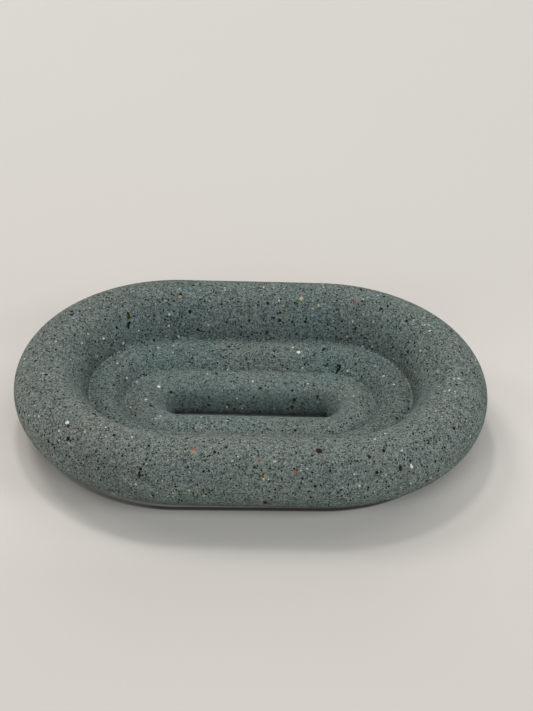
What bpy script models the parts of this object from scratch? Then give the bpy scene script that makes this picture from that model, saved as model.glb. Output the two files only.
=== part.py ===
# Concrete soap dish: three rounded rings nested one inside the other, stepping
# down to a drain slot, on four small rubber pads.
# Units are metres, +Z is up, +X runs along the length, the pads stand on Z = 0.

import math

import bmesh
import bpy

# Plan of the dish. Every ring is the same distance all round from the straight
# middle line of the slot, so each ring has two straight sides and two round ends.
OVERALL_LENGTH = 0.1400
OVERALL_WIDTH = 0.0982

# Outer ring: a round tube with a longer wall running down on its inner side.
# The tube's radius is a share of the body's height, and its lower side tucks under.
BODY_HEIGHT = 0.0211
RIM_TUBE_SHARE = 0.474
RIM_WALL_RUN = 0.0022
RIM_WALL_START_ANGLE = math.radians(135.0)
UNDERCUT_ANGLE = math.radians(40.0)

# Valleys between the rings: heights as shares of the body's height, and the second
# one's place as a share of the way from the middle line out to the first.
FIRST_VALLEY_HEIGHT_SHARE = 0.4645
SECOND_VALLEY_HEIGHT_SHARE = 0.2985
SECOND_VALLEY_REACH_SHARE = 0.5985

# How far each inner ring swells up, as a share of its straight span, and the slot.
MIDDLE_RING_SWELL_SHARE = 0.216
INNER_RING_SWELL_SHARE = 0.270
SLOT_WIDTH = 0.0046

# Small roundings left by the mould. A softened corner never takes more than this share of a side.
LONGEST_REACH_SHARE = 0.45
VALLEY_SOFTENING = 0.0005
FOOT_ROUNDING = 0.0012
SLOT_EDGE_ROUNDING = 0.0006

# Pads under the dish.
PAD_RADIUS = 0.0050
PAD_HEIGHT = 0.0012
PAD_EDGE_ROUNDING = 0.0004
PAD_SPACING_LENGTH = 0.0760
PAD_SPACING_WIDTH = 0.0400
PIECE_GAP = 0.0003

# Fineness of the curves.
END_STEPS = 30
TUBE_STEPS = 20
WALL_STEPS = 7
RING_STEPS = 9
ROUNDING_STEPS = 3
PAD_STEPS = 24

# Sizes that follow from the ones above.
HALF_WIDTH = OVERALL_WIDTH / 2
HALF_STRAIGHT = OVERALL_LENGTH / 2 - HALF_WIDTH
UNDERSIDE_HEIGHT = PAD_HEIGHT + PIECE_GAP
RIM_TUBE_RADIUS = BODY_HEIGHT * RIM_TUBE_SHARE
TUBE_CENTRE = (HALF_WIDTH - RIM_TUBE_RADIUS, BODY_HEIGHT - RIM_TUBE_RADIUS)
FIRST_VALLEY_REACH = HALF_WIDTH - 2 * RIM_TUBE_RADIUS - RIM_WALL_RUN
FIRST_VALLEY = (FIRST_VALLEY_REACH, BODY_HEIGHT * FIRST_VALLEY_HEIGHT_SHARE)
SECOND_VALLEY = (
    FIRST_VALLEY_REACH * SECOND_VALLEY_REACH_SHARE,
    BODY_HEIGHT * SECOND_VALLEY_HEIGHT_SHARE,
)
SLOT_EDGE = (SLOT_WIDTH / 2, 0.0)

# Surfaces. Edges sharper than these angles are shown as edges, all others as smooth.
CONCRETE_COLOUR = (0.130, 0.160, 0.152, 1.0)
CONCRETE_ROUGHNESS = 0.85
BODY_SHARP_ANGLE = math.radians(50.0)
RUBBER_COLOUR = (0.030, 0.030, 0.032, 1.0)
RUBBER_ROUGHNESS = 0.70
PAD_SHARP_ANGLE = math.radians(40.0)


def point_on_circle(centre, radius, angle):
    """Point of a circle at an angle counted from the outward direction."""
    return (centre[0] + radius * math.cos(angle), centre[1] + radius * math.sin(angle))


def arc_points(centre, radius, start, end, steps):
    """Points along an arc, both ends included."""
    turn = (end - start) / steps
    return [point_on_circle(centre, radius, start + turn * step) for step in range(steps + 1)]


def angle_to(centre, point):
    """Angle from a centre to a point, between zero and a full turn."""
    return math.atan2(point[1] - centre[1], point[0] - centre[0]) % math.tau


def crown_between(outer, inner, swell_share, steps):
    """Arc that swells upward from the outer point to the inner one by a share of the span."""
    run = outer[0] - inner[0]
    rise = outer[1] - inner[1]
    span = math.hypot(run, rise)
    swell = span * swell_share
    radius = (span ** 2 / 4 + swell ** 2) / (2 * swell)
    sink = radius - swell
    centre = (
        (outer[0] + inner[0]) / 2 + sink * rise / span,
        (outer[1] + inner[1]) / 2 - sink * run / span,
    )
    start = angle_to(centre, outer)
    end = angle_to(centre, inner)
    return arc_points(centre, radius, start, end, steps)


def wall_from_tube(centre, radius, leave_angle, target, steps):
    """Arc that leaves the tube without a corner and ends at the target point."""
    leave = point_on_circle(centre, radius, leave_angle)
    normal = (math.cos(leave_angle), math.sin(leave_angle))
    offset = (target[0] - leave[0], target[1] - leave[1])
    along = offset[0] * normal[0] + offset[1] * normal[1]
    wall_radius = -(offset[0] ** 2 + offset[1] ** 2) / (2 * along)
    wall_centre = (leave[0] - wall_radius * normal[0], leave[1] - wall_radius * normal[1])
    start = angle_to(wall_centre, leave)
    end = angle_to(wall_centre, target)
    return arc_points(wall_centre, wall_radius, start, end, steps)


def soften_corner(before, corner, after, reach, steps):
    """Smooth curve that replaces a corner, starting and ending the given reach away."""
    def step_toward(point):
        length = math.hypot(point[0] - corner[0], point[1] - corner[1])
        share = min(reach / length, LONGEST_REACH_SHARE)
        return (
            corner[0] + (point[0] - corner[0]) * share,
            corner[1] + (point[1] - corner[1]) * share,
        )

    first = step_toward(before)
    last = step_toward(after)
    points = []
    for step in range(steps + 1):
        share = step / steps
        rest = 1.0 - share
        points.append((
            rest * rest * first[0] + 2 * rest * share * corner[0] + share * share * last[0],
            rest * rest * first[1] + 2 * rest * share * corner[1] + share * share * last[1],
        ))
    return points


def body_section():
    """Closed outline of the dish wall: distance from the middle line, height."""
    tube = arc_points(
        TUBE_CENTRE, RIM_TUBE_RADIUS, UNDERCUT_ANGLE - math.pi / 2, RIM_WALL_START_ANGLE, TUBE_STEPS
    )
    undercut_run = tube[0][1] / math.tan(UNDERCUT_ANGLE)
    foot = (tube[0][0] - undercut_run, 0.0)
    wall = wall_from_tube(
        TUBE_CENTRE, RIM_TUBE_RADIUS, RIM_WALL_START_ANGLE, FIRST_VALLEY, WALL_STEPS
    )
    middle = crown_between(FIRST_VALLEY, SECOND_VALLEY, MIDDLE_RING_SWELL_SHARE, RING_STEPS)
    inner = crown_between(
        SECOND_VALLEY, SLOT_EDGE, INNER_RING_SWELL_SHARE, RING_STEPS + WALL_STEPS
    )

    outline = soften_corner(SLOT_EDGE, foot, tube[0], FOOT_ROUNDING, ROUNDING_STEPS)
    outline += tube
    outline += wall[1:-1]
    outline += soften_corner(wall[-2], FIRST_VALLEY, middle[1], VALLEY_SOFTENING, ROUNDING_STEPS)
    outline += middle[1:-1]
    outline += soften_corner(middle[-2], SECOND_VALLEY, inner[1], VALLEY_SOFTENING, ROUNDING_STEPS)
    outline += inner[1:-1]
    outline += soften_corner(inner[-2], SLOT_EDGE, foot, SLOT_EDGE_ROUNDING, ROUNDING_STEPS)
    return outline


def new_object(name, mesh_data, material):
    """Object in the scene with smooth shading and one material."""
    bmesh.ops.recalc_face_normals(mesh_data, faces=mesh_data.faces)
    for face in mesh_data.faces:
        face.smooth = True
    mesh = bpy.data.meshes.new(name)
    mesh_data.to_mesh(mesh)
    mesh_data.free()
    mesh.materials.append(material)
    made = bpy.data.objects.new(name, mesh)
    bpy.context.scene.collection.objects.link(made)
    return made


def principled(name, colour, roughness):
    """Plain material for one piece."""
    material = bpy.data.materials.new(name)
    material.use_nodes = True
    shader = material.node_tree.nodes["Principled BSDF"]
    shader.inputs["Base Color"].default_value = colour
    shader.inputs["Roughness"].default_value = roughness
    shader.inputs["Metallic"].default_value = 0.0
    material.diffuse_color = colour
    return material


def join_sections(mesh_data, rows):
    """Skin closed rows of vertices one to the next and back to the first."""
    for index, row in enumerate(rows):
        following = rows[(index + 1) % len(rows)]
        for place in range(len(row)):
            after = (place + 1) % len(row)
            mesh_data.faces.new((row[place], following[place], following[after], row[after]))


def build_body():
    """Sweep the section round both ends and along both straight sides."""
    outline = body_section()
    mesh_data = bmesh.new()
    rows = []
    for end_side in (1, -1):
        for step in range(END_STEPS + 1):
            turn = math.pi * step / END_STEPS - math.pi / 2
            across = end_side * math.cos(turn)
            along_width = end_side * math.sin(turn)
            rows.append([
                mesh_data.verts.new((
                    end_side * HALF_STRAIGHT + across * reach,
                    along_width * reach,
                    UNDERSIDE_HEIGHT + height,
                ))
                for reach, height in outline
            ])
    join_sections(mesh_data, rows)
    concrete = principled("concrete", CONCRETE_COLOUR, CONCRETE_ROUGHNESS)
    body = new_object("dish_body", mesh_data, concrete)
    body.data.set_sharp_from_angle(angle=BODY_SHARP_ANGLE)
    return body


def build_pad(name, centre_x, centre_y, material):
    """Round pad with a softened edge, standing on the ground."""
    rounding = PAD_EDGE_ROUNDING
    upper = arc_points(
        (PAD_RADIUS - rounding, PAD_HEIGHT - rounding), rounding, math.pi / 2, 0.0, ROUNDING_STEPS
    )
    lower = arc_points(
        (PAD_RADIUS - rounding, rounding), rounding, 0.0, -math.pi / 2, ROUNDING_STEPS
    )
    mesh_data = bmesh.new()
    rows = []
    for reach, height in upper + lower:
        rows.append([
            mesh_data.verts.new((
                centre_x + reach * math.cos(math.tau * step / PAD_STEPS),
                centre_y + reach * math.sin(math.tau * step / PAD_STEPS),
                height,
            ))
            for step in range(PAD_STEPS)
        ])
    for row, following in zip(rows, rows[1:]):
        for place in range(PAD_STEPS):
            after = (place + 1) % PAD_STEPS
            mesh_data.faces.new((row[place], row[after], following[after], following[place]))
    mesh_data.faces.new(rows[0])
    mesh_data.faces.new(rows[-1])
    pad = new_object(name, mesh_data, material)
    pad.data.set_sharp_from_angle(angle=PAD_SHARP_ANGLE)
    return pad


def build_all():
    """Clear the scene, then make the dish and its four pads."""
    for old in list(bpy.data.objects):
        bpy.data.objects.remove(old, do_unlink=True)
    build_body()
    rubber = principled("pad_rubber", RUBBER_COLOUR, RUBBER_ROUGHNESS)
    for width_name, width_side in (("front", -1), ("back", 1)):
        for length_name, length_side in (("left", -1), ("right", 1)):
            build_pad(
                "foot_pad_" + width_name + "_" + length_name,
                length_side * PAD_SPACING_LENGTH / 2,
                width_side * PAD_SPACING_WIDTH / 2,
                rubber,
            )


build_all()
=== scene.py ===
import itertools
import math
import random

import bmesh
import bpy
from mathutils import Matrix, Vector


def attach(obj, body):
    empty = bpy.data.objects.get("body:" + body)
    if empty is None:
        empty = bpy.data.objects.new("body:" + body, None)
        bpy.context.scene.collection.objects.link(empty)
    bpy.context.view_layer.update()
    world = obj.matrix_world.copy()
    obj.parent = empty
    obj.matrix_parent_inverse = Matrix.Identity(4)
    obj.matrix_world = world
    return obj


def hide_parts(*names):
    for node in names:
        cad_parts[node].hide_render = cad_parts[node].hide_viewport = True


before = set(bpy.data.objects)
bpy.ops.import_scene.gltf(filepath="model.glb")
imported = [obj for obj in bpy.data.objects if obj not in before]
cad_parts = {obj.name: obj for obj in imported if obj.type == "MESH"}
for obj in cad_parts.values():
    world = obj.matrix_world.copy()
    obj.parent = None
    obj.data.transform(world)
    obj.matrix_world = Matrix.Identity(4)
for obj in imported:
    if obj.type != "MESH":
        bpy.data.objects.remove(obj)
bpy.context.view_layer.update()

# Plan and section of the dish, in metres, the same values as the part's own.
OVERALL_LENGTH = 0.1400
OVERALL_WIDTH = 0.0982
BODY_HEIGHT = 0.0211
RIM_TUBE_SHARE = 0.474
RIM_WALL_RUN = 0.0022
RIM_WALL_START_ANGLE = math.radians(135.0)
UNDERCUT_ANGLE = math.radians(40.0)
FIRST_VALLEY_HEIGHT_SHARE = 0.4645
SECOND_VALLEY_HEIGHT_SHARE = 0.2985
SECOND_VALLEY_REACH_SHARE = 0.5985
MIDDLE_RING_SWELL_SHARE = 0.216
INNER_RING_SWELL_SHARE = 0.270
SLOT_WIDTH = 0.0046
FOOT_ROUNDING = 0.0012
SLOT_EDGE_ROUNDING = 0.0006
VALLEY_SOFTENING = 0.00022
PAD_RADIUS = 0.0050
PAD_HEIGHT = 0.0012
PAD_EDGE_ROUNDING = 0.0004
PAD_SPACING_LENGTH = 0.0760
PAD_SPACING_WIDTH = 0.0400
PIECE_GAP = 0.0003

# Shallow dish in the foot of each pad.
PAD_DISH_MARGIN = PAD_RADIUS / 4
PAD_DISH_SLOPE = PAD_RADIUS / 8
PAD_DISH_DEPTH = PAD_HEIGHT / 8

# Sizes that follow from the ones above.
HALF_WIDTH = OVERALL_WIDTH / 2
HALF_STRAIGHT = OVERALL_LENGTH / 2 - HALF_WIDTH
UNDERSIDE_HEIGHT = PAD_HEIGHT + PIECE_GAP
RIM_TUBE_RADIUS = BODY_HEIGHT * RIM_TUBE_SHARE
TUBE_CENTRE = (HALF_WIDTH - RIM_TUBE_RADIUS, BODY_HEIGHT - RIM_TUBE_RADIUS)
FIRST_VALLEY_REACH = HALF_WIDTH - 2 * RIM_TUBE_RADIUS - RIM_WALL_RUN
FIRST_VALLEY = (FIRST_VALLEY_REACH, BODY_HEIGHT * FIRST_VALLEY_HEIGHT_SHARE)
SECOND_VALLEY_REACH = FIRST_VALLEY_REACH * SECOND_VALLEY_REACH_SHARE
SECOND_VALLEY = (SECOND_VALLEY_REACH, BODY_HEIGHT * SECOND_VALLEY_HEIGHT_SHARE)
SLOT_EDGE = (SLOT_WIDTH / 2, 0.0)

# Fineness of the curves, and the angles under which an edge is shown as smooth.
TUBE_STEPS = 64
WALL_STEPS = 22
MIDDLE_RING_STEPS = 28
INNER_RING_STEPS = 38
UNDERCUT_STEPS = 10
UNDERSIDE_STEPS = 14
END_STEPS = 150
SIDE_STEPS = 42
ROUNDING_STEPS = 4
PAD_STEPS = 72
PINHOLE_FINENESS = 2
MERGE_DISTANCE = 0.00001
BODY_SMOOTH_ANGLE = math.radians(45.0)
PAD_SMOOTH_ANGLE = math.radians(40.0)

# Small faults of a hand-poured casting.
WAVE_SIZE = 0.016
WAVE_DEPTH = 0.00012
WAVE_CLEARANCE = 0.00003
PINHOLE_COUNT = 70
PINHOLE_SMALLEST = 0.00022
PINHOLE_LARGEST = 0.00050
PINHOLE_SPACING = 4 * PINHOLE_LARGEST
PINHOLE_SEED = 7

# Shares of its size by which an air hole's middle stands out of the surface, and its stretch.
PINHOLE_RISE = (-0.1, 0.3)
PINHOLE_STRETCH = (0.7, 1.3)


# Modelling steps

def deselect_everything():
    bpy.ops.object.select_all(action="DESELECT")


def make_active(piece):
    deselect_everything()
    piece.select_set(True)
    bpy.context.view_layer.objects.active = piece


def apply_all_modifiers(piece):
    make_active(piece)
    for modifier in list(piece.modifiers):
        bpy.ops.object.modifier_apply(modifier=modifier.name)


def section_place(reach, height):
    """Point of the section as it stands at the front of the right-hand end."""
    return Vector((HALF_STRAIGHT, -reach, UNDERSIDE_HEIGHT + height))


def point_on_circle(centre, radius, angle):
    return (centre[0] + radius * math.cos(angle), centre[1] + radius * math.sin(angle))


def angle_to(centre, point):
    return math.atan2(point[1] - centre[1], point[0] - centre[0]) % math.tau


def crown_centre(outer, inner, swell_share):
    """Centre of the arc that swells upward between two points by a share of their span."""
    run = outer[0] - inner[0]
    rise = outer[1] - inner[1]
    span = math.hypot(run, rise)
    swell = span * swell_share
    sink = (span ** 2 / 4 - swell ** 2) / (2 * swell)
    return (
        (outer[0] + inner[0]) / 2 + sink * rise / span,
        (outer[1] + inner[1]) / 2 - sink * run / span,
    )


def wall_centre(leave, leave_angle, target):
    """Centre of the arc that leaves the tube without a corner and ends at the target."""
    normal = (math.cos(leave_angle), math.sin(leave_angle))
    offset = (target[0] - leave[0], target[1] - leave[1])
    along = offset[0] * normal[0] + offset[1] * normal[1]
    radius = -(offset[0] ** 2 + offset[1] ** 2) / (2 * along)
    return (leave[0] - radius * normal[0], leave[1] - radius * normal[1])


def draw_arc(centre, start, end, steps):
    """Spin the selected vertex round a centre of the section, counted upward from outward."""
    bpy.ops.mesh.spin(
        steps=steps, angle=end - start, center=section_place(*centre), axis=(1.0, 0.0, 0.0)
    )


def draw_arc_between(centre, start, end, steps):
    """Spin the selected vertex round a centre from one section point to another."""
    draw_arc(centre, angle_to(centre, start), angle_to(centre, end), steps)


def draw_straight(start, end, steps):
    """Extrude the selected vertex in equal steps from one section point to another."""
    step = (section_place(*end) - section_place(*start)) / steps
    for _ in range(steps):
        bpy.ops.mesh.extrude_region_move(TRANSFORM_OT_translate={"value": step})


def select_near(piece, point, distance):
    """Select the vertices that lie within a distance of a point."""
    bpy.ops.mesh.select_all(action="DESELECT")
    bpy.ops.object.mode_set(mode="OBJECT")
    for vertex in piece.data.vertices:
        vertex.select = (vertex.co - point).length < distance
    bpy.ops.object.mode_set(mode="EDIT")


def draw_section(piece):
    """Closed outline of the dish wall, drawn as a wire from the foot round to the slot."""
    tube_start = UNDERCUT_ANGLE - math.pi / 2
    tube_low = point_on_circle(TUBE_CENTRE, RIM_TUBE_RADIUS, tube_start)
    tube_top = point_on_circle(TUBE_CENTRE, RIM_TUBE_RADIUS, RIM_WALL_START_ANGLE)
    foot = (tube_low[0] - tube_low[1] / math.tan(UNDERCUT_ANGLE), 0.0)
    wall = wall_centre(tube_top, RIM_WALL_START_ANGLE, FIRST_VALLEY)
    middle = crown_centre(FIRST_VALLEY, SECOND_VALLEY, MIDDLE_RING_SWELL_SHARE)
    inner = crown_centre(SECOND_VALLEY, SLOT_EDGE, INNER_RING_SWELL_SHARE)

    bpy.ops.transform.translate(value=section_place(*foot))
    draw_straight(foot, tube_low, UNDERCUT_STEPS)
    draw_arc(TUBE_CENTRE, tube_start, RIM_WALL_START_ANGLE, TUBE_STEPS)
    draw_arc_between(wall, tube_top, FIRST_VALLEY, WALL_STEPS)
    draw_arc_between(middle, FIRST_VALLEY, SECOND_VALLEY, MIDDLE_RING_STEPS)
    draw_arc_between(inner, SECOND_VALLEY, SLOT_EDGE, INNER_RING_STEPS)
    draw_straight(SLOT_EDGE, foot, UNDERSIDE_STEPS)
    bpy.ops.mesh.select_all(action="SELECT")
    bpy.ops.mesh.remove_doubles(threshold=MERGE_DISTANCE)

    corners = (
        (foot, FOOT_ROUNDING), (SLOT_EDGE, SLOT_EDGE_ROUNDING),
        (FIRST_VALLEY, VALLEY_SOFTENING), (SECOND_VALLEY, VALLEY_SOFTENING),
    )
    for corner, rounding in corners:
        select_near(piece, section_place(*corner), MERGE_DISTANCE)
        bpy.ops.mesh.bevel(
            affect="VERTICES", offset=rounding, segments=ROUNDING_STEPS, clamp_overlap=True
        )


def sweep_section():
    """Carry the section round both ends and along both long sides, then close the ring."""
    side_step = Vector((2 * HALF_STRAIGHT / SIDE_STEPS, 0.0, 0.0))
    for side in (1, -1):
        end_centre = (side * HALF_STRAIGHT, 0.0, 0.0)
        bpy.ops.mesh.spin(steps=END_STEPS, angle=math.pi, center=end_centre, axis=(0.0, 0.0, -1.0))
        for _ in range(SIDE_STEPS):
            bpy.ops.mesh.extrude_region_move(TRANSFORM_OT_translate={"value": -side * side_step})


def put_in_order(piece):
    """Sort the vertices and faces by place, because a swept mesh's order changes from run to run."""
    mesh_data = bmesh.new()
    mesh_data.from_mesh(piece.data)
    vertices = sorted(mesh_data.verts, key=lambda vertex: tuple(vertex.co))
    faces = sorted(mesh_data.faces, key=lambda face: tuple(face.calc_center_median()))
    for elements in (vertices, faces):
        for index, element in enumerate(elements):
            element.index = index
    mesh_data.verts.sort()
    mesh_data.faces.sort()
    mesh_data.to_mesh(piece.data)
    mesh_data.free()


def cast_body():
    """The whole casting, before its small faults."""
    deselect_everything()
    bpy.ops.mesh.primitive_plane_add(size=RIM_TUBE_RADIUS)
    body = bpy.context.object
    body.name = "cast_body"
    body.data.name = "cast_body"
    bpy.ops.object.mode_set(mode="EDIT")
    bpy.ops.mesh.select_all(action="SELECT")
    bpy.ops.mesh.merge(type="CENTER")
    draw_section(body)
    bpy.ops.mesh.select_all(action="SELECT")
    sweep_section()
    bpy.ops.mesh.select_all(action="SELECT")
    bpy.ops.mesh.remove_doubles(threshold=MERGE_DISTANCE)
    bpy.ops.mesh.normals_make_consistent(inside=False)
    bpy.ops.object.mode_set(mode="OBJECT")
    put_in_order(body)
    return body


def add_waves(body):
    """Shallow inward waves, as a hand-poured casting has."""
    waves = bpy.data.textures.new("casting_waves", "CLOUDS")
    waves.noise_scale = WAVE_SIZE
    sink = body.modifiers.new("casting_waves", "DISPLACE")
    sink.texture = waves
    sink.texture_coords = "LOCAL"
    sink.mid_level = 1.0 + WAVE_CLEARANCE / WAVE_DEPTH
    sink.strength = WAVE_DEPTH
    apply_all_modifiers(body)


def pinhole_places(body, draw):
    """Faces of the upper surfaces, by chance and area, well apart: middle and outward direction."""
    faces = [face for face in body.data.polygons if face.center.z > UNDERSIDE_HEIGHT + MERGE_DISTANCE]
    areas = list(itertools.accumulate(face.area for face in faces))
    places = []
    while len(places) < PINHOLE_COUNT:
        face = draw.choices(faces, cum_weights=areas)[0]
        if all((face.center - place).length > PINHOLE_SPACING for place, _ in places):
            places.append((face.center.copy(), face.normal.copy()))
    return places


def pinhole_bubble(draw, place, normal):
    """Bubble that leaves one air hole, a little out of round."""
    size = PINHOLE_SMALLEST + (PINHOLE_LARGEST - PINHOLE_SMALLEST) * draw.random() ** 2
    middle = place + normal * size * draw.uniform(*PINHOLE_RISE)
    turn = [draw.uniform(0.0, 3.0) for _ in range(3)]
    deselect_everything()
    bpy.ops.mesh.primitive_ico_sphere_add(
        subdivisions=PINHOLE_FINENESS, radius=size, location=middle, rotation=turn
    )
    bubble = bpy.context.object
    bubble.scale = (draw.uniform(*PINHOLE_STRETCH), draw.uniform(*PINHOLE_STRETCH), 1.0)
    return bubble


def open_pinholes(body):
    """Cut small air holes into the upper surfaces."""
    draw = random.Random(PINHOLE_SEED)
    bubbles = [pinhole_bubble(draw, *place) for place in pinhole_places(body, draw)]
    deselect_everything()
    for bubble in bubbles:
        bubble.select_set(True)
    bpy.context.view_layer.objects.active = bubbles[0]
    bpy.ops.object.join()
    cutter = bpy.context.object
    bpy.ops.object.transform_apply(location=True, rotation=True, scale=True)
    cut = body.modifiers.new("pinholes", "BOOLEAN")
    cut.operation = "DIFFERENCE"
    cut.object = cutter
    apply_all_modifiers(body)
    bpy.data.objects.remove(cutter, do_unlink=True)


def rubber_pad(name, centre_x, centre_y):
    """Round pad with rounded edges and a shallow dish in its foot."""
    deselect_everything()
    middle = (centre_x, centre_y, PAD_HEIGHT / 2)
    bpy.ops.mesh.primitive_cylinder_add(
        vertices=PAD_STEPS, radius=PAD_RADIUS, depth=PAD_HEIGHT, location=middle
    )
    pad = bpy.context.object
    pad.name = name
    pad.data.name = name
    bpy.ops.object.transform_apply(location=True, rotation=True, scale=True)
    bpy.ops.object.mode_set(mode="EDIT")
    bpy.ops.mesh.select_all(action="SELECT")
    bpy.ops.mesh.bevel(offset=PAD_EDGE_ROUNDING, segments=ROUNDING_STEPS, affect="EDGES")
    bpy.ops.mesh.select_all(action="DESELECT")
    bpy.ops.object.mode_set(mode="OBJECT")
    for face in pad.data.polygons:
        face.select = face.normal.z < -0.99 and face.area > PAD_RADIUS ** 2
    bpy.ops.object.mode_set(mode="EDIT")
    bpy.ops.mesh.inset(thickness=PAD_DISH_MARGIN, depth=0.0)
    bpy.ops.mesh.inset(thickness=PAD_DISH_SLOPE, depth=-PAD_DISH_DEPTH)
    bpy.ops.object.mode_set(mode="OBJECT")
    bpy.ops.object.shade_smooth_by_angle(angle=PAD_SMOOTH_ANGLE)
    return pad


# Shader sockets as plain values

class Wire:
    """A shader socket that takes part in arithmetic: each step adds a Math node."""

    def __init__(self, finish, socket):
        self.finish = finish
        self.socket = socket

    def math(self, operation, first, second=None, clamped=False):
        settings = {"operation": operation, "use_clamp": clamped}
        sockets = {0: first} if second is None else {0: first, 1: second}
        return self.finish.node("ShaderNodeMath", settings, sockets)

    def __add__(self, other):
        return self.math("ADD", self, other)

    def __sub__(self, other):
        return self.math("SUBTRACT", self, other)

    def __rsub__(self, other):
        return self.math("SUBTRACT", other, self)

    def __mul__(self, other):
        return self.math("MULTIPLY", self, other)

    def __truediv__(self, other):
        return self.math("DIVIDE", self, other)

    def __pow__(self, other):
        return self.math("POWER", self, other)

    def __lt__(self, other):
        return self.math("LESS_THAN", self, other)

    def __gt__(self, other):
        return self.math("GREATER_THAN", self, other)

    def __abs__(self):
        return self.math("ABSOLUTE", self)

    def at_least(self, other):
        return self.math("MAXIMUM", self, other)

    def clamped(self):
        return self.math("MULTIPLY", self, 1.0, clamped=True)

    def rise(self, low, high):
        """Zero below the low value, one above the high one, straight between."""
        return ((self - low) / (high - low)).clamped()

    def band(self, start, full, fade, end):
        """One between full and fade, with a straight run in from start and out to end."""
        return self.rise(start, full) * (1.0 - self.rise(fade, end))


class Finish:
    """A material whose nodes are added one after another."""

    def __init__(self, name):
        self.material = bpy.data.materials.new(name)
        self.material.use_nodes = True
        self.tree = self.material.node_tree
        self.shader = self.tree.nodes["Principled BSDF"]

    def feed(self, socket, value):
        if isinstance(value, Wire):
            self.tree.links.new(value.socket, socket)
        else:
            socket.default_value = value

    def node(self, kind, settings=None, sockets=None, output=0):
        """Add a node, set it up, feed its sockets, and hand back one or more outputs."""
        made = self.tree.nodes.new(kind)
        for name, value in (settings or {}).items():
            setattr(made, name, value)
        for key, value in (sockets or {}).items():
            self.feed(made.inputs[key], value)
        if isinstance(output, tuple):
            return [Wire(self, made.outputs[name]) for name in output]
        return Wire(self, made.outputs[output])

    def object_place(self, scale):
        """Object coordinates, turned into steps of the given size."""
        place = self.node("ShaderNodeTexCoord", output="Object")
        return self.scale_vector(place, 1.0 / scale)

    def scale_vector(self, vector, factor):
        return self.node("ShaderNodeVectorMath", {"operation": "SCALE"}, {0: vector, "Scale": factor})

    def add_vectors(self, first, second):
        return self.node("ShaderNodeVectorMath", {"operation": "ADD"}, {0: first, 1: second})

    def multiply_vectors(self, first, second):
        return self.node("ShaderNodeVectorMath", {"operation": "MULTIPLY"}, {0: first, 1: second})

    def split(self, vector):
        return self.node("ShaderNodeSeparateXYZ", sockets={0: vector}, output=("X", "Y", "Z"))

    def noise(self, place, fineness, detail, output=0):
        sockets = {"Vector": place, "Scale": fineness, "Detail": detail}
        return self.node("ShaderNodeTexNoise", sockets=sockets, output=output)

    def cells(self, place, size, shift):
        """Random cells of a size: distance to the cell's middle and three chance values."""
        moved = self.add_vectors(place, shift)
        distance, chance = self.node(
            "ShaderNodeTexVoronoi", {"feature": "F1"}, {"Vector": moved, "Scale": 1.0 / size},
            output=("Distance", "Color"),
        )
        return [distance] + self.split(chance)

    def mix(self, factor, first, second):
        """Blend two colours."""
        return self.node("ShaderNodeMix", {"data_type": "RGBA"}, {0: factor, 6: first, 7: second}, 2)

    def finished(self, colour, roughness, relief=None, strength=0.0, depth=0.0):
        """Feed the shader, give it a fine relief if there is one, and hand the material over."""
        self.feed(self.shader.inputs["Base Color"], colour)
        self.feed(self.shader.inputs["Roughness"], roughness)
        if relief is not None:
            sockets = {"Strength": strength, "Distance": depth, "Height": relief}
            normal = self.node("ShaderNodeBump", sockets=sockets, output="Normal")
            self.feed(self.shader.inputs["Normal"], normal)
        return self.material


# Values of the materials, whose lengths are in millimetres

MM = 0.001
STRAIGHT_MM = HALF_STRAIGHT / MM
FIRST_MM = FIRST_VALLEY_REACH / MM
SECOND_MM = SECOND_VALLEY_REACH / MM

CEMENT_TEAL = (0.110, 0.152, 0.143, 1.0)
CEMENT_GREY = (0.145, 0.165, 0.148, 1.0)
GRAIN_DARK = (0.006, 0.009, 0.011, 1.0)
GRAIN_BROWN = (0.030, 0.017, 0.010, 1.0)
CHIP_WHITE = (0.72, 0.75, 0.70, 1.0)
CHIP_CREAM = (0.50, 0.40, 0.25, 1.0)
CHIP_RED = (0.30, 0.10, 0.05, 1.0)
CHIP_TEAL = (0.26, 0.38, 0.37, 1.0)
GRAIN_OLIVE = (0.032, 0.024, 0.004, 1.0)
CHIP_TAN = (0.34, 0.24, 0.14, 1.0)
RUBBER_BLACK = (0.024, 0.024, 0.026, 1.0)
RUBBER_DUSTY = (0.055, 0.054, 0.052, 1.0)
FLOOR_NEAR = (0.655, 0.622, 0.568, 1.0)
FLOOR_FAR = (0.618, 0.620, 0.592, 1.0)

# Rings of the casting with painted light and painted shade, lighter or darker than the rest:
# the reaches from the slot's middle line at which each one starts, is full, fades and ends.
PAINTED_SHADE_RINGS = {
    "wall_foot": (FIRST_MM - 0.1, FIRST_MM + 0.2, FIRST_MM + 0.3, FIRST_MM + 3.5),
    "first_edge": (FIRST_MM - 0.6, FIRST_MM, FIRST_MM + 0.1, FIRST_MM + 0.4),
    "middle_back": (FIRST_MM - 4.0, FIRST_MM - 2.0, FIRST_MM, FIRST_MM + 0.3),
    "middle_ring": (SECOND_MM + 1.0, SECOND_MM + 2.0, FIRST_MM - 2.0, FIRST_MM - 0.8),
    "step_foot": (SECOND_MM - 0.1, SECOND_MM + 0.2, SECOND_MM + 2.0, SECOND_MM + 6.0),
    "step_glow": (SECOND_MM - 0.1, SECOND_MM + 0.2, SECOND_MM + 1.4, SECOND_MM + 3.0),
    "second_edge": (SECOND_MM - 0.8, SECOND_MM - 0.3, SECOND_MM + 0.1, SECOND_MM + 0.4),
    "inner_back": (SECOND_MM - 1.5, SECOND_MM - 1.0, SECOND_MM - 0.7, SECOND_MM - 0.4),
    "inner_crest": (SECOND_MM - 2.6, SECOND_MM - 1.4, SECOND_MM, SECOND_MM + 0.3),
    "front_glow": (SECOND_MM - 4.2, SECOND_MM - 3.0, SECOND_MM - 2.2, SECOND_MM - 1.2),
}
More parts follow.
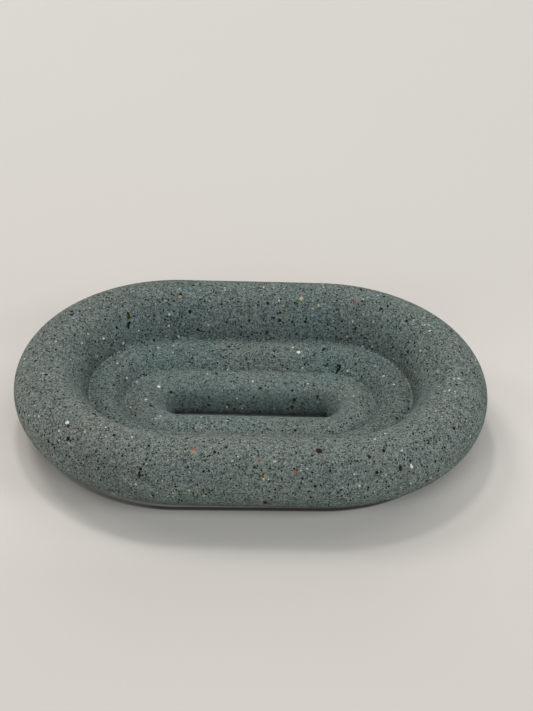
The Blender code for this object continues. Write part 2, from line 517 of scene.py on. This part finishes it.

# How much lighter or darker each ring is painted, and on which side of the dish.
PAINTED_SHADE_STRENGTHS = (
    ("wall_foot", "all_round", -0.20),
    ("wall_foot", "left_end", -0.10),
    ("wall_foot", "right_end", -0.28),
    ("wall_foot", "right_back", 0.08),
    ("first_edge", "all_round", 0.28),
    ("first_edge", "right_back", 0.20),
    ("middle_back", "left_back", 0.32),
    ("middle_back", "right_back", 0.10),
    ("middle_ring", "all_round", -0.06),
    ("step_foot", "near_and_left", -0.12),
    ("step_foot", "left_side", -0.06),
    ("step_foot", "right_end", -0.12),
    ("step_glow", "far_and_right", 0.10),
    ("second_edge", "all_round", 0.12),
    ("second_edge", "far_straight", -0.14),
    ("second_edge", "left_side", 0.18),
    ("second_edge", "right_end", 0.02),
    ("second_edge", "right_back", 0.12),
    ("second_edge", "right_front", -0.36),
    ("inner_back", "far_straight", -0.20),
    ("inner_crest", "left_back", 0.10),
    ("front_glow", "right_front", 0.22),
)

# Other painted shade and painted light on the casting: how much each one darkens or lightens it at its
# fullest.
LEFT_RIM_SHADE = 0.04
LEFT_END_SHADE = 0.13
SLOT_SHADE = 0.42
SLOT_GLOW_LEFT = 0.12
SLOT_END_SHADE = 0.14
FLANK_SHADE = 0.03
FLANK_GLOW_NEAR = 0.03
FLANK_GLOW_LEFT = 0.36
UNDERSIDE_SHADE = 0.5
NEAR_GLOW = 0.03
FAR_SHADE = 0.06

# Where they run in or out: reaches from the slot's middle line, heights, places across.
LEFT_RIM_REACHES = (FIRST_MM + 6.0, FIRST_MM + 10.0)
LEFT_END_REACHES = (31.0, 36.0)
SLOT_REACHES = (2.6, 7.0)
SLOT_END_REACHES = (4.0, 8.5)
FLANK_REACHES = (FIRST_MM + 12.0, FIRST_MM + 18.0)
FLANK_HEIGHTS = (12.0, 23.0)
UPPER_HEIGHTS = (3.0, 5.0)
UNDERSIDE_HEIGHTS = (1.9, 3.6)
NEAR_PLACES = (-10.0, -40.0)
FAR_PLACES = (0.0, 45.0)

# Where the cement runs from teal to grey, and how much greyer it gets at each place; part of this grey is
# a painted tint of warm light.
CLOUD_LEVELS = (0.36, 0.66)
CLOUD_GREY = 0.5
RIM_GREY_REACHES = (FIRST_MM + 3.0, FIRST_MM + 14.0)
RIM_GREY = 0.32
NEAR_GREY_PLACES = (20.0, -40.0)
NEAR_GREY = 0.22
LEFT_GREY_REACHES = (FIRST_MM + 2.0, FIRST_MM + 7.0)
LEFT_GREY = 0.30
FLANK_TEAL = 0.25
RIM_CROWDING_REACHES = (FIRST_MM, FIRST_MM + 8.0)

# Noises: fineness for each millimetre and steps of finer detail, and levels that they run between.
WANDER = (2.2, 2.0)
CLOUDS = (0.07, 3.0)
SMALL_CLOUDS = (0.30, 2.0)
DUST = (3.2, 1.0)
CROWDING = (0.11, 2.0)
CROWDING_LEVELS = (0.34, 0.66)
CHUNK_LEVELS = (0.4, 0.6)
RUBBER_GRAIN = (4.0, 3.0)
RUBBER_DUST = (0.6, 2.0)
RUBBER_DUST_LEVELS = (0.45, 0.75)
FLOOR_DRIFT = (0.006, 2.0)

# How far the noise carries the outlines of the grains and of the large chips.
GRAIN_WANDER = 0.45
CHIP_WANDER = 0.8

# Kinds of scattered grains: size of the cells that can hold one, the grain's radius as a share
# of that size, half the width of its soft rim, a shift that keeps the kinds apart, the least
# share of the cells that hold one, and the share that crowding adds.
FINE_GRAINS = (0.85, 0.28, 0.03, (11.0, 2.0, 5.0), 0.24, 0.22)
DARK_GRAINS = (1.9, 0.22, 0.02, (1.0, 23.0, 9.0), 0.09, 0.09)
DARK_CHUNKS = (4.5, 0.11, 0.01, (5.0, 3.0, 27.0), 0.10, 0.0)
PALE_GRAINS = (1.5, 0.18, 0.03, (31.0, 4.0, 17.0), 0.09, 0.10)
RED_GRAINS = (2.6, 0.16, 0.03, (8.0, 41.0, 3.0), 0.02, 0.02)
TEAL_GRAINS = (1.7, 0.20, 0.08, (19.0, 13.0, 29.0), 0.14, 0.0)

# Grains whose chance value lies above these take the second of their kind's two colours.
DARK_TO_BROWN = 0.80
WHITE_TO_CREAM = 0.6
RED_TO_BROWN = 0.5

# How strongly the grains that lie under a skin of cement show.
PALE_LEAST_STRENGTH = 0.5
RED_STRENGTH = 0.8
TEAL_STRENGTH = 0.45

# Radius of the smallest grain as a share of its kind's, what chance adds, and a chip's soft rim.
GRAIN_SMALLEST = 0.55
GRAIN_SPREAD = 0.9
CHIP_SOFT_RIM = 0.05

# Sand in the cement: size of its cells, and the contrast of the sand, the dust and both.
SAND_CELL = 0.42
SAND_SHIFT = (3.1, 7.7, 1.9)
SAND_CONTRAST = 1.1
DUST_CONTRAST = 2.4
SHADE_CONTRAST = 1.08
SHADE_LEVEL = 1.06
DARKEST_SHADE = 0.15
CALM_NEAR_SLOT = 0.28
CALM_REACHES = (14.0, 6.0)

# Fine relief of the surfaces: strength and depth, and the heights of sand and grains in it.
CONCRETE_RELIEF = (0.30, 0.06 * MM)
RUBBER_RELIEF = (0.30, 0.03 * MM)
SAND_RELIEF = 0.5
FINE_GRAIN_RELIEF = 0.7

# Shine of the surfaces.
CONCRETE_SPECULAR = 0.15
CONCRETE_ROUGHNESS = 0.92
GRAIN_SMOOTHNESS = 0.2
RUBBER_LEAST_ROUGHNESS = 0.6
RUBBER_ROUGHNESS_SPREAD = 0.2
RUBBER_DUST_STRENGTH = 0.4
FLOOR_ROUGHNESS = 0.8

# Tones of the floor, a drift and painted light and shade round the dish, and where each one runs in and
# out, away from the viewer or sideways. The foot's edge lies a little further out on the left, as in the
# photo.
DRIFT_AWAY = (-100.0, 260.0)
BESIDE_GLOW = 0.10
BESIDE_SIDEWAYS = (40.0, 70.0, 90.0, 150.0)
BESIDE_AWAY = (30.0, 75.0)
CLOSE_GLOW = 0.22
CLOSE_REACHES = (42.0, 47.0)
CLOSE_AWAY = (-22.0, -36.0)
CLOSE_SIDEWAYS = (32.0, 52.0)
BEFORE_SHADE = 0.07
BEFORE_AWAY = (-58.0, -70.0, -75.0, -120.0)
BEFORE_SIDEWAYS = (30.0, 70.0)
FOOT_SKEW = 0.02
GAP_SHADE = 0.82
GAP_REACHES = (39.7, 40.1, 41.1, 41.7)
GAP_SIDEWAYS = (-25.0, -48.0)
GAP_FADE_LEFT = 0.7

# Places are squeezed in height round the large chips, so that a chip reaches deep enough to
# show where the surface isn't quite at its height.
CHIP_SQUEEZE = (1.0, 1.0, 0.35)

# The larger chips that lie at the surface, and flat dark marks of two hooked holes: place and radius in
# millimetres, colour.
LARGE_CHIPS = (
    # These five dark marks draw a hooked hole flat: painted shadow of its inside.
    ((26.1, 16.9, 10.4), 0.42, GRAIN_DARK),
    ((26.7, 16.6, 10.2), 0.42, GRAIN_DARK),
    ((26.7, 16.2, 9.8), 0.42, GRAIN_DARK),
    ((26.1, 15.8, 9.2), 0.45, GRAIN_DARK),
    ((25.7, 15.5, 8.6), 0.30, GRAIN_DARK),
    ((-37.2, 27.6, 19.8), 0.48, GRAIN_OLIVE),
    ((-37.1, 26.9, 19.1), 0.48, GRAIN_OLIVE),
    # These three dark marks draw a second hooked hole flat: painted shadow of its inside.
    ((-36.8, 25.8, 17.8), 0.38, GRAIN_DARK),
    ((-37.1, 25.2, 17.4), 0.38, GRAIN_DARK),
    ((-37.0, 24.8, 16.9), 0.38, GRAIN_DARK),
    ((-40.5, 23.1, 17.7), 0.42, GRAIN_DARK),
    ((-18.7, 31.1, 18.6), 0.42, GRAIN_DARK),
    ((19.2, -41.4, 22.3), 0.95, GRAIN_BROWN),
    ((42.4, -42.5, 17.7), 0.60, GRAIN_BROWN),
    ((37.5, -39.9, 21.7), 0.50, GRAIN_DARK),
    ((-52.2, -34.4, 19.3), 0.50, GRAIN_DARK),
    ((-28.9, -40.7, 22.3), 0.42, GRAIN_DARK),
    ((-7.1, -40.9, 22.4), 0.50, GRAIN_BROWN),
    ((-16.6, -41.6, 22.3), 0.50, CHIP_RED),
    ((-16.3, -42.6, 22.0), 0.50, CHIP_TAN),
    ((-21.8, 34.6, 21.5), 0.50, CHIP_TAN),
    ((-31.4, -47.0, 16.7), 0.48, GRAIN_BROWN),
    ((4.1, -47.7, 17.7), 0.40, CHIP_TAN),
    ((-52.5, -29.8, 21.6), 0.55, CHIP_WHITE),
    ((14.9, 35.0, 21.7), 0.55, CHIP_CREAM),
    ((14.3, 20.7, 11.9), 0.50, CHIP_WHITE),
    ((-27.3, 5.8, 8.8), 0.45, CHIP_WHITE),
    ((45.6, -41.0, 17.3), 0.40, CHIP_WHITE),
    ((-38.8, -43.3, 6.4), 0.90, CHIP_TEAL),
)


def reach_from_slot(along, across):
    """Run past the straight sides, and distance from the straight middle line of the slot."""
    past_straight = (abs(along) - STRAIGHT_MM).at_least(0.0)
    return past_straight, (past_straight * past_straight + across * across) ** 0.5


class Spot:
    """Where a point of the casting lies, in millimetres and as soft masks of sides and parts."""

    def __init__(self, finish, place):
        self.along, self.across, self.height = finish.split(place)
        self.past_straight, self.reach = reach_from_slot(self.along, self.across)
        self.sides = self.find_sides()
        self.slot = 1.0 - self.reach.rise(*SLOT_REACHES)
        self.flank = self.reach.rise(*FLANK_REACHES) * (1.0 - self.height.rise(*FLANK_HEIGHTS))

    def find_sides(self):
        """Masks of the sides, from the share of the reach that points to the back or an end."""
        back = self.across / self.reach
        right = (self.along - STRAIGHT_MM) / self.reach
        left = (self.along * -1.0 - STRAIGHT_MM) / self.reach
        far = back.rise(0.2, 0.8)
        left_side = left.rise(0.2, 0.6)
        right_side = right.rise(0.2, 0.5)
        right_front = right_side * back.rise(-0.2, -0.5)
        return {
            "all_round": 1.0,
            "far": far,
            "near": (back * -1.0).rise(0.2, 0.9),
            "left_end": left.rise(0.5, 0.9),
            "right_end": right.rise(0.5, 0.9),
            "left_side": left_side,
            "left_back": left_side * back.rise(0.2, 0.5),
            "right_back": right_side * back.rise(0.3, 0.6),
            "right_front": right_front,
            "far_straight": far * (1.0 - self.past_straight.rise(0.0, 6.0)),
            "far_and_right": far * (1.0 - left_side),
            "near_and_left": (1.0 - far) * (1.0 - right_front),
        }


def painted_casting_shade(spot):
    """Painted light and shade on the cement at a spot, where one is its plain tone, as the photo shows
    it.
    """
    left_end = spot.sides["left_end"]
    rings = {name: spot.reach.band(*reaches) for name, reaches in PAINTED_SHADE_RINGS.items()}
    tone = spot.sides["left_side"] * spot.reach.rise(*LEFT_RIM_REACHES) * -LEFT_RIM_SHADE
    for ring, side, strength in PAINTED_SHADE_STRENGTHS:
        tone = tone + rings[ring] * spot.sides[side] * strength
    # Painted shade in the slot, at its right-hand end, under the foot and on the left end's inner rings;
    # painted light and shade on the lower flank and at the near and far sides.
    upper = spot.height.rise(*UPPER_HEIGHTS)
    underside = 1.0 - spot.height.rise(*UNDERSIDE_HEIGHTS)
    slot_end = spot.sides["right_end"] * (1.0 - spot.sides["far"] * 2.0)
    slot_end = slot_end * (1.0 - spot.reach.rise(*SLOT_END_REACHES))
    slot_shade = spot.slot * (SLOT_SHADE - left_end * SLOT_GLOW_LEFT) + slot_end * SLOT_END_SHADE
    flank_glow = spot.sides["near"] * FLANK_GLOW_NEAR + left_end * FLANK_GLOW_LEFT - FLANK_SHADE
    inner_left = left_end ** 2.0 * (1.0 - spot.reach.rise(*LEFT_END_REACHES)) * upper
    near_glow = spot.across.rise(*NEAR_PLACES) * NEAR_GLOW
    far_shade = spot.across.rise(*FAR_PLACES) * FAR_SHADE
    shade = tone * upper - slot_shade + spot.flank * flank_glow + 1.0
    shade = shade * (1.0 - underside * UNDERSIDE_SHADE) * (1.0 - inner_left * LEFT_END_SHADE)
    return shade * (near_glow - far_shade + 1.0)


def cement_colour(finish, place, spot):
    """Teal and grey cement in soft clouds, greyer on the rim and towards the front, partly as a painted
    tint of warm light.
    """
    clouds = finish.noise(place, *CLOUDS) * 0.65 + finish.noise(place, *SMALL_CLOUDS) * 0.35
    grey = clouds.rise(*CLOUD_LEVELS) * (1.0 - spot.slot) * CLOUD_GREY
    # The grey on the rim is partly, and the grey towards the front wholly, a painted tint of the warm
    # light that falls there.
    grey = grey + spot.reach.rise(*RIM_GREY_REACHES) * RIM_GREY
    grey = grey + spot.across.rise(*NEAR_GREY_PLACES) * NEAR_GREY
    grey = grey + spot.sides["left_side"] * spot.reach.rise(*LEFT_GREY_REACHES) * LEFT_GREY
    return finish.mix((grey - spot.flank * FLANK_TEAL).clamped(), CEMENT_TEAL, CEMENT_GREY)


def scatter(finish, place, kind, crowding=0.0):
    """Mask of scattered grains that differ in width, and a chance value for each."""
    size, radius_share, soft_rim, shift, least_share, added_share = kind
    share = crowding * added_share + least_share
    distance, lot, width, tone = finish.cells(place, size, shift)
    radius = (width * GRAIN_SPREAD + GRAIN_SMALLEST) * radius_share
    return (lot < share) * (radius - distance).rise(-soft_rim, soft_rim), tone


def large_chip(finish, place, centre, radius):
    """Mask of one chip at a known place."""
    middle = tuple(-value * flat for value, flat in zip(centre, CHIP_SQUEEZE))
    away = finish.add_vectors(place, middle)
    distance = finish.node("ShaderNodeVectorMath", {"operation": "LENGTH"}, {0: away}, "Value")
    return (radius - distance).rise(-CHIP_SOFT_RIM, CHIP_SOFT_RIM)


def speckled_concrete():
    """Grey-green cement with fine sand, dark grains and sparse coloured chips, and painted light and
    shade.
    """
    finish = Finish("speckled_concrete")
    place = finish.object_place(MM)
    wander = finish.noise(place, *WANDER, output="Color")
    wander = finish.add_vectors(wander, (-0.5, -0.5, -0.5))
    rough_place = finish.add_vectors(place, finish.scale_vector(wander, GRAIN_WANDER))
    chip_place = finish.add_vectors(place, finish.scale_vector(wander, CHIP_WANDER))
    chip_place = finish.multiply_vectors(chip_place, CHIP_SQUEEZE)
    spot = Spot(finish, place)

    _, sand_tone, _, _ = finish.cells(rough_place, SAND_CELL, SAND_SHIFT)
    dust = finish.noise(place, *DUST)
    lively = 1.0 - spot.reach.rise(*CALM_REACHES) * CALM_NEAR_SLOT
    sand = ((sand_tone - 0.5) * SAND_CONTRAST + (dust - 0.5) * DUST_CONTRAST) * lively
    # The sand's tone, times the painted light and shade of the casting.
    shade = (sand * SHADE_CONTRAST + SHADE_LEVEL).at_least(DARKEST_SHADE) * painted_casting_shade(spot)
    colour = finish.scale_vector(cement_colour(finish, place, spot), shade)

    crowding = finish.noise(place, *CROWDING).rise(*CROWDING_LEVELS)
    rim_crowding = spot.reach.rise(*RIM_CROWDING_REACHES)
    fine, _ = scatter(finish, rough_place, FINE_GRAINS, crowding)
    colour = finish.mix(fine * lively, colour, GRAIN_DARK)
    dark, chance = scatter(finish, rough_place, DARK_GRAINS, crowding)
    colour = finish.mix(dark, colour, finish.mix(chance > DARK_TO_BROWN, GRAIN_DARK, GRAIN_BROWN))
    chunk, _ = scatter(finish, rough_place, DARK_CHUNKS)
    colour = finish.mix(chunk, colour, finish.mix(dust.rise(*CHUNK_LEVELS), GRAIN_DARK, GRAIN_BROWN))
    pale, chance = scatter(finish, rough_place, PALE_GRAINS, rim_crowding)
    strength = pale * (chance * (1.0 - PALE_LEAST_STRENGTH) + PALE_LEAST_STRENGTH)
    colour = finish.mix(strength, colour, finish.mix(chance > WHITE_TO_CREAM, CHIP_WHITE, CHIP_CREAM))
    red, chance = scatter(finish, rough_place, RED_GRAINS, rim_crowding)
    red_colour = finish.mix(chance > RED_TO_BROWN, CHIP_RED, GRAIN_BROWN)
    colour = finish.mix(red * RED_STRENGTH, colour, red_colour)
    teal, _ = scatter(finish, rough_place, TEAL_GRAINS)
    colour = finish.mix(teal * TEAL_STRENGTH, colour, CHIP_TEAL)
    for centre, radius, chip_colour in LARGE_CHIPS:
        colour = finish.mix(large_chip(finish, chip_place, centre, radius), colour, chip_colour)

    finish.shader.inputs["Specular IOR Level"].default_value = CONCRETE_SPECULAR
    roughness = CONCRETE_ROUGHNESS - (dark + pale) * GRAIN_SMOOTHNESS
    relief = sand * SAND_RELIEF - fine * FINE_GRAIN_RELIEF - dark - chunk
    return finish.finished(colour, roughness, relief, *CONCRETE_RELIEF)


def pad_rubber():
    """Black moulded rubber with a faint grain."""
    finish = Finish("moulded_rubber")
    place = finish.object_place(MM)
    grain = finish.noise(place, *RUBBER_GRAIN)
    dust = finish.noise(place, *RUBBER_DUST)
    colour = finish.mix(dust.rise(*RUBBER_DUST_LEVELS) * RUBBER_DUST_STRENGTH, RUBBER_BLACK, RUBBER_DUSTY)
    roughness = grain * RUBBER_ROUGHNESS_SPREAD + RUBBER_LEAST_ROUGHNESS
    return finish.finished(colour, roughness, grain, *RUBBER_RELIEF)


def pale_floor():
    """Matte off-white floor, with painted light beside and close before the dish, a painted shadow
    further before it, and painted shade under its foot's edge.
    """
    finish = Finish("pale_floor")
    place = finish.object_place(MM)
    sideways, away, _ = finish.split(place)
    _, reach = reach_from_slot(sideways, away)
    foot_reach = reach + sideways * FOOT_SKEW
    # Painted light beside and close before the dish, a painted shadow further before it, and painted
    # shade in the gap under the foot's edge.
    beside = abs(sideways).band(*BESIDE_SIDEWAYS) * (1.0 - abs(away).rise(*BESIDE_AWAY))
    close = (1.0 - foot_reach.rise(*CLOSE_REACHES)) * away.rise(*CLOSE_AWAY)
    close = close * (1.0 - abs(sideways).rise(*CLOSE_SIDEWAYS))
    before = away.band(*BEFORE_AWAY) * (1.0 - abs(sideways).rise(*BEFORE_SIDEWAYS))
    gap = foot_reach.band(*GAP_REACHES) * (1.0 - sideways.rise(*GAP_SIDEWAYS) * GAP_FADE_LEFT)
    drift = finish.noise(place, *FLOOR_DRIFT) * 0.3 + away.rise(*DRIFT_AWAY) * 0.7
    tone = beside * BESIDE_GLOW + close * CLOSE_GLOW - before * BEFORE_SHADE + 1.0
    colour = finish.scale_vector(finish.mix(drift, FLOOR_NEAR, FLOOR_FAR), tone * (1.0 - gap * GAP_SHADE))
    return finish.finished(colour, FLOOR_ROUGHNESS)


def dress(piece, material):
    piece.data.materials.clear()
    piece.data.materials.append(material)


# Values of the floor, the lamps and the camera

FLOOR_SIZE = 6.0
LAMP_DISTANCE = 1.3
ROOM_LIGHT = 0.12
WHITE = (1.0, 1.0, 1.0)

# Round soft lamps: name, bearing and elevation in degrees, width in metres, power in watts
# and colour. Bearing zero is behind the dish and 90 to its right.
LAMPS = (
    ("key_behind", 348, 60, 0.2, 3.2, WHITE),
    ("wide_behind", 0, 62, 1.2, 1.5, (1.08, 1.0, 0.96)),
    ("behind_left", 325, 45, 0.4, 4.2, (1.08, 1.0, 0.95)),
    ("wide_behind_right", 45, 35, 1.2, 3.0, (1.06, 1.0, 0.96)),
    ("wide_front", 180, 50, 1.2, 4.1, (0.95, 0.99, 1.02)),
    ("low_left", 295, 25, 0.4, 2.4, (1.04, 1.0, 0.98)),
    ("low_right", 110, 25, 0.5, 5.2, (0.98, 1.0, 1.04)),
    ("low_front_left", 215, 26, 0.5, 2.2, WHITE),
    ("low_front_right", 145, 26, 0.5, 0.6, WHITE),
)

# Where the camera stands, how it is turned in degrees, and its lens in millimetres.
CAMERA_PLACE = (-0.010863, -0.713333, 0.539147)
CAMERA_TURN = (54.21612, -1.61514, -0.05077)
CAMERA_LENS = 151.899
CAMERA_NEAREST = 0.01


def add_to_scene(name, data):
    """Object of the scene that carries a lamp or a camera."""
    added = bpy.data.objects.new(name, data)
    bpy.context.scene.collection.objects.link(added)
    return added


def soft_lamp(name, bearing, elevation, width, power, colour):
    """Round soft lamp aimed at the dish."""
    light = bpy.data.lights.new(name, "AREA")
    light.shape = "DISK"
    light.size = width
    light.energy = power
    light.color = colour
    turn = math.radians(bearing)
    rise = math.radians(elevation)
    away = Vector((math.cos(rise) * math.sin(turn), math.cos(rise) * math.cos(turn), math.sin(rise)))
    lamp = add_to_scene(name, light)
    lamp.location = away * LAMP_DISTANCE
    lamp.rotation_euler = (-away).to_track_quat("-Z", "Y").to_euler()


# The dish

body = cast_body()
add_waves(body)
open_pinholes(body)
make_active(body)
bpy.ops.object.shade_smooth_by_angle(angle=BODY_SMOOTH_ANGLE)
dress(body, speckled_concrete())
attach(body, "root")
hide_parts("dish_body")

rubber = pad_rubber()
for width_name, width_side in (("front", -1), ("back", 1)):
    for length_name, length_side in (("left", -1), ("right", 1)):
        pad = rubber_pad(
            "pad_" + width_name + "_" + length_name,
            length_side * PAD_SPACING_LENGTH / 2,
            width_side * PAD_SPACING_WIDTH / 2,
        )
        dress(pad, rubber)
        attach(pad, "root")
        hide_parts("foot_pad_" + width_name + "_" + length_name)

# Floor, lamps and camera

deselect_everything()
bpy.ops.mesh.primitive_plane_add(size=FLOOR_SIZE)
floor = bpy.context.object
floor.name = "floor"
dress(floor, pale_floor())

for lamp_values in LAMPS:
    soft_lamp(*lamp_values)

world = bpy.data.worlds.new("room_light")
world.use_nodes = True
world.node_tree.nodes["Background"].inputs["Color"].default_value = WHITE + (1.0,)
world.node_tree.nodes["Background"].inputs["Strength"].default_value = ROOM_LIGHT
bpy.context.scene.world = world

camera_data = bpy.data.cameras.new("camera")
camera_data.lens = CAMERA_LENS
camera_data.clip_start = CAMERA_NEAREST
camera = add_to_scene("camera", camera_data)
camera.location = CAMERA_PLACE
camera.rotation_euler = [math.radians(angle) for angle in CAMERA_TURN]
bpy.context.scene.camera = camera
bpy.context.scene.view_settings.view_transform = "Standard"
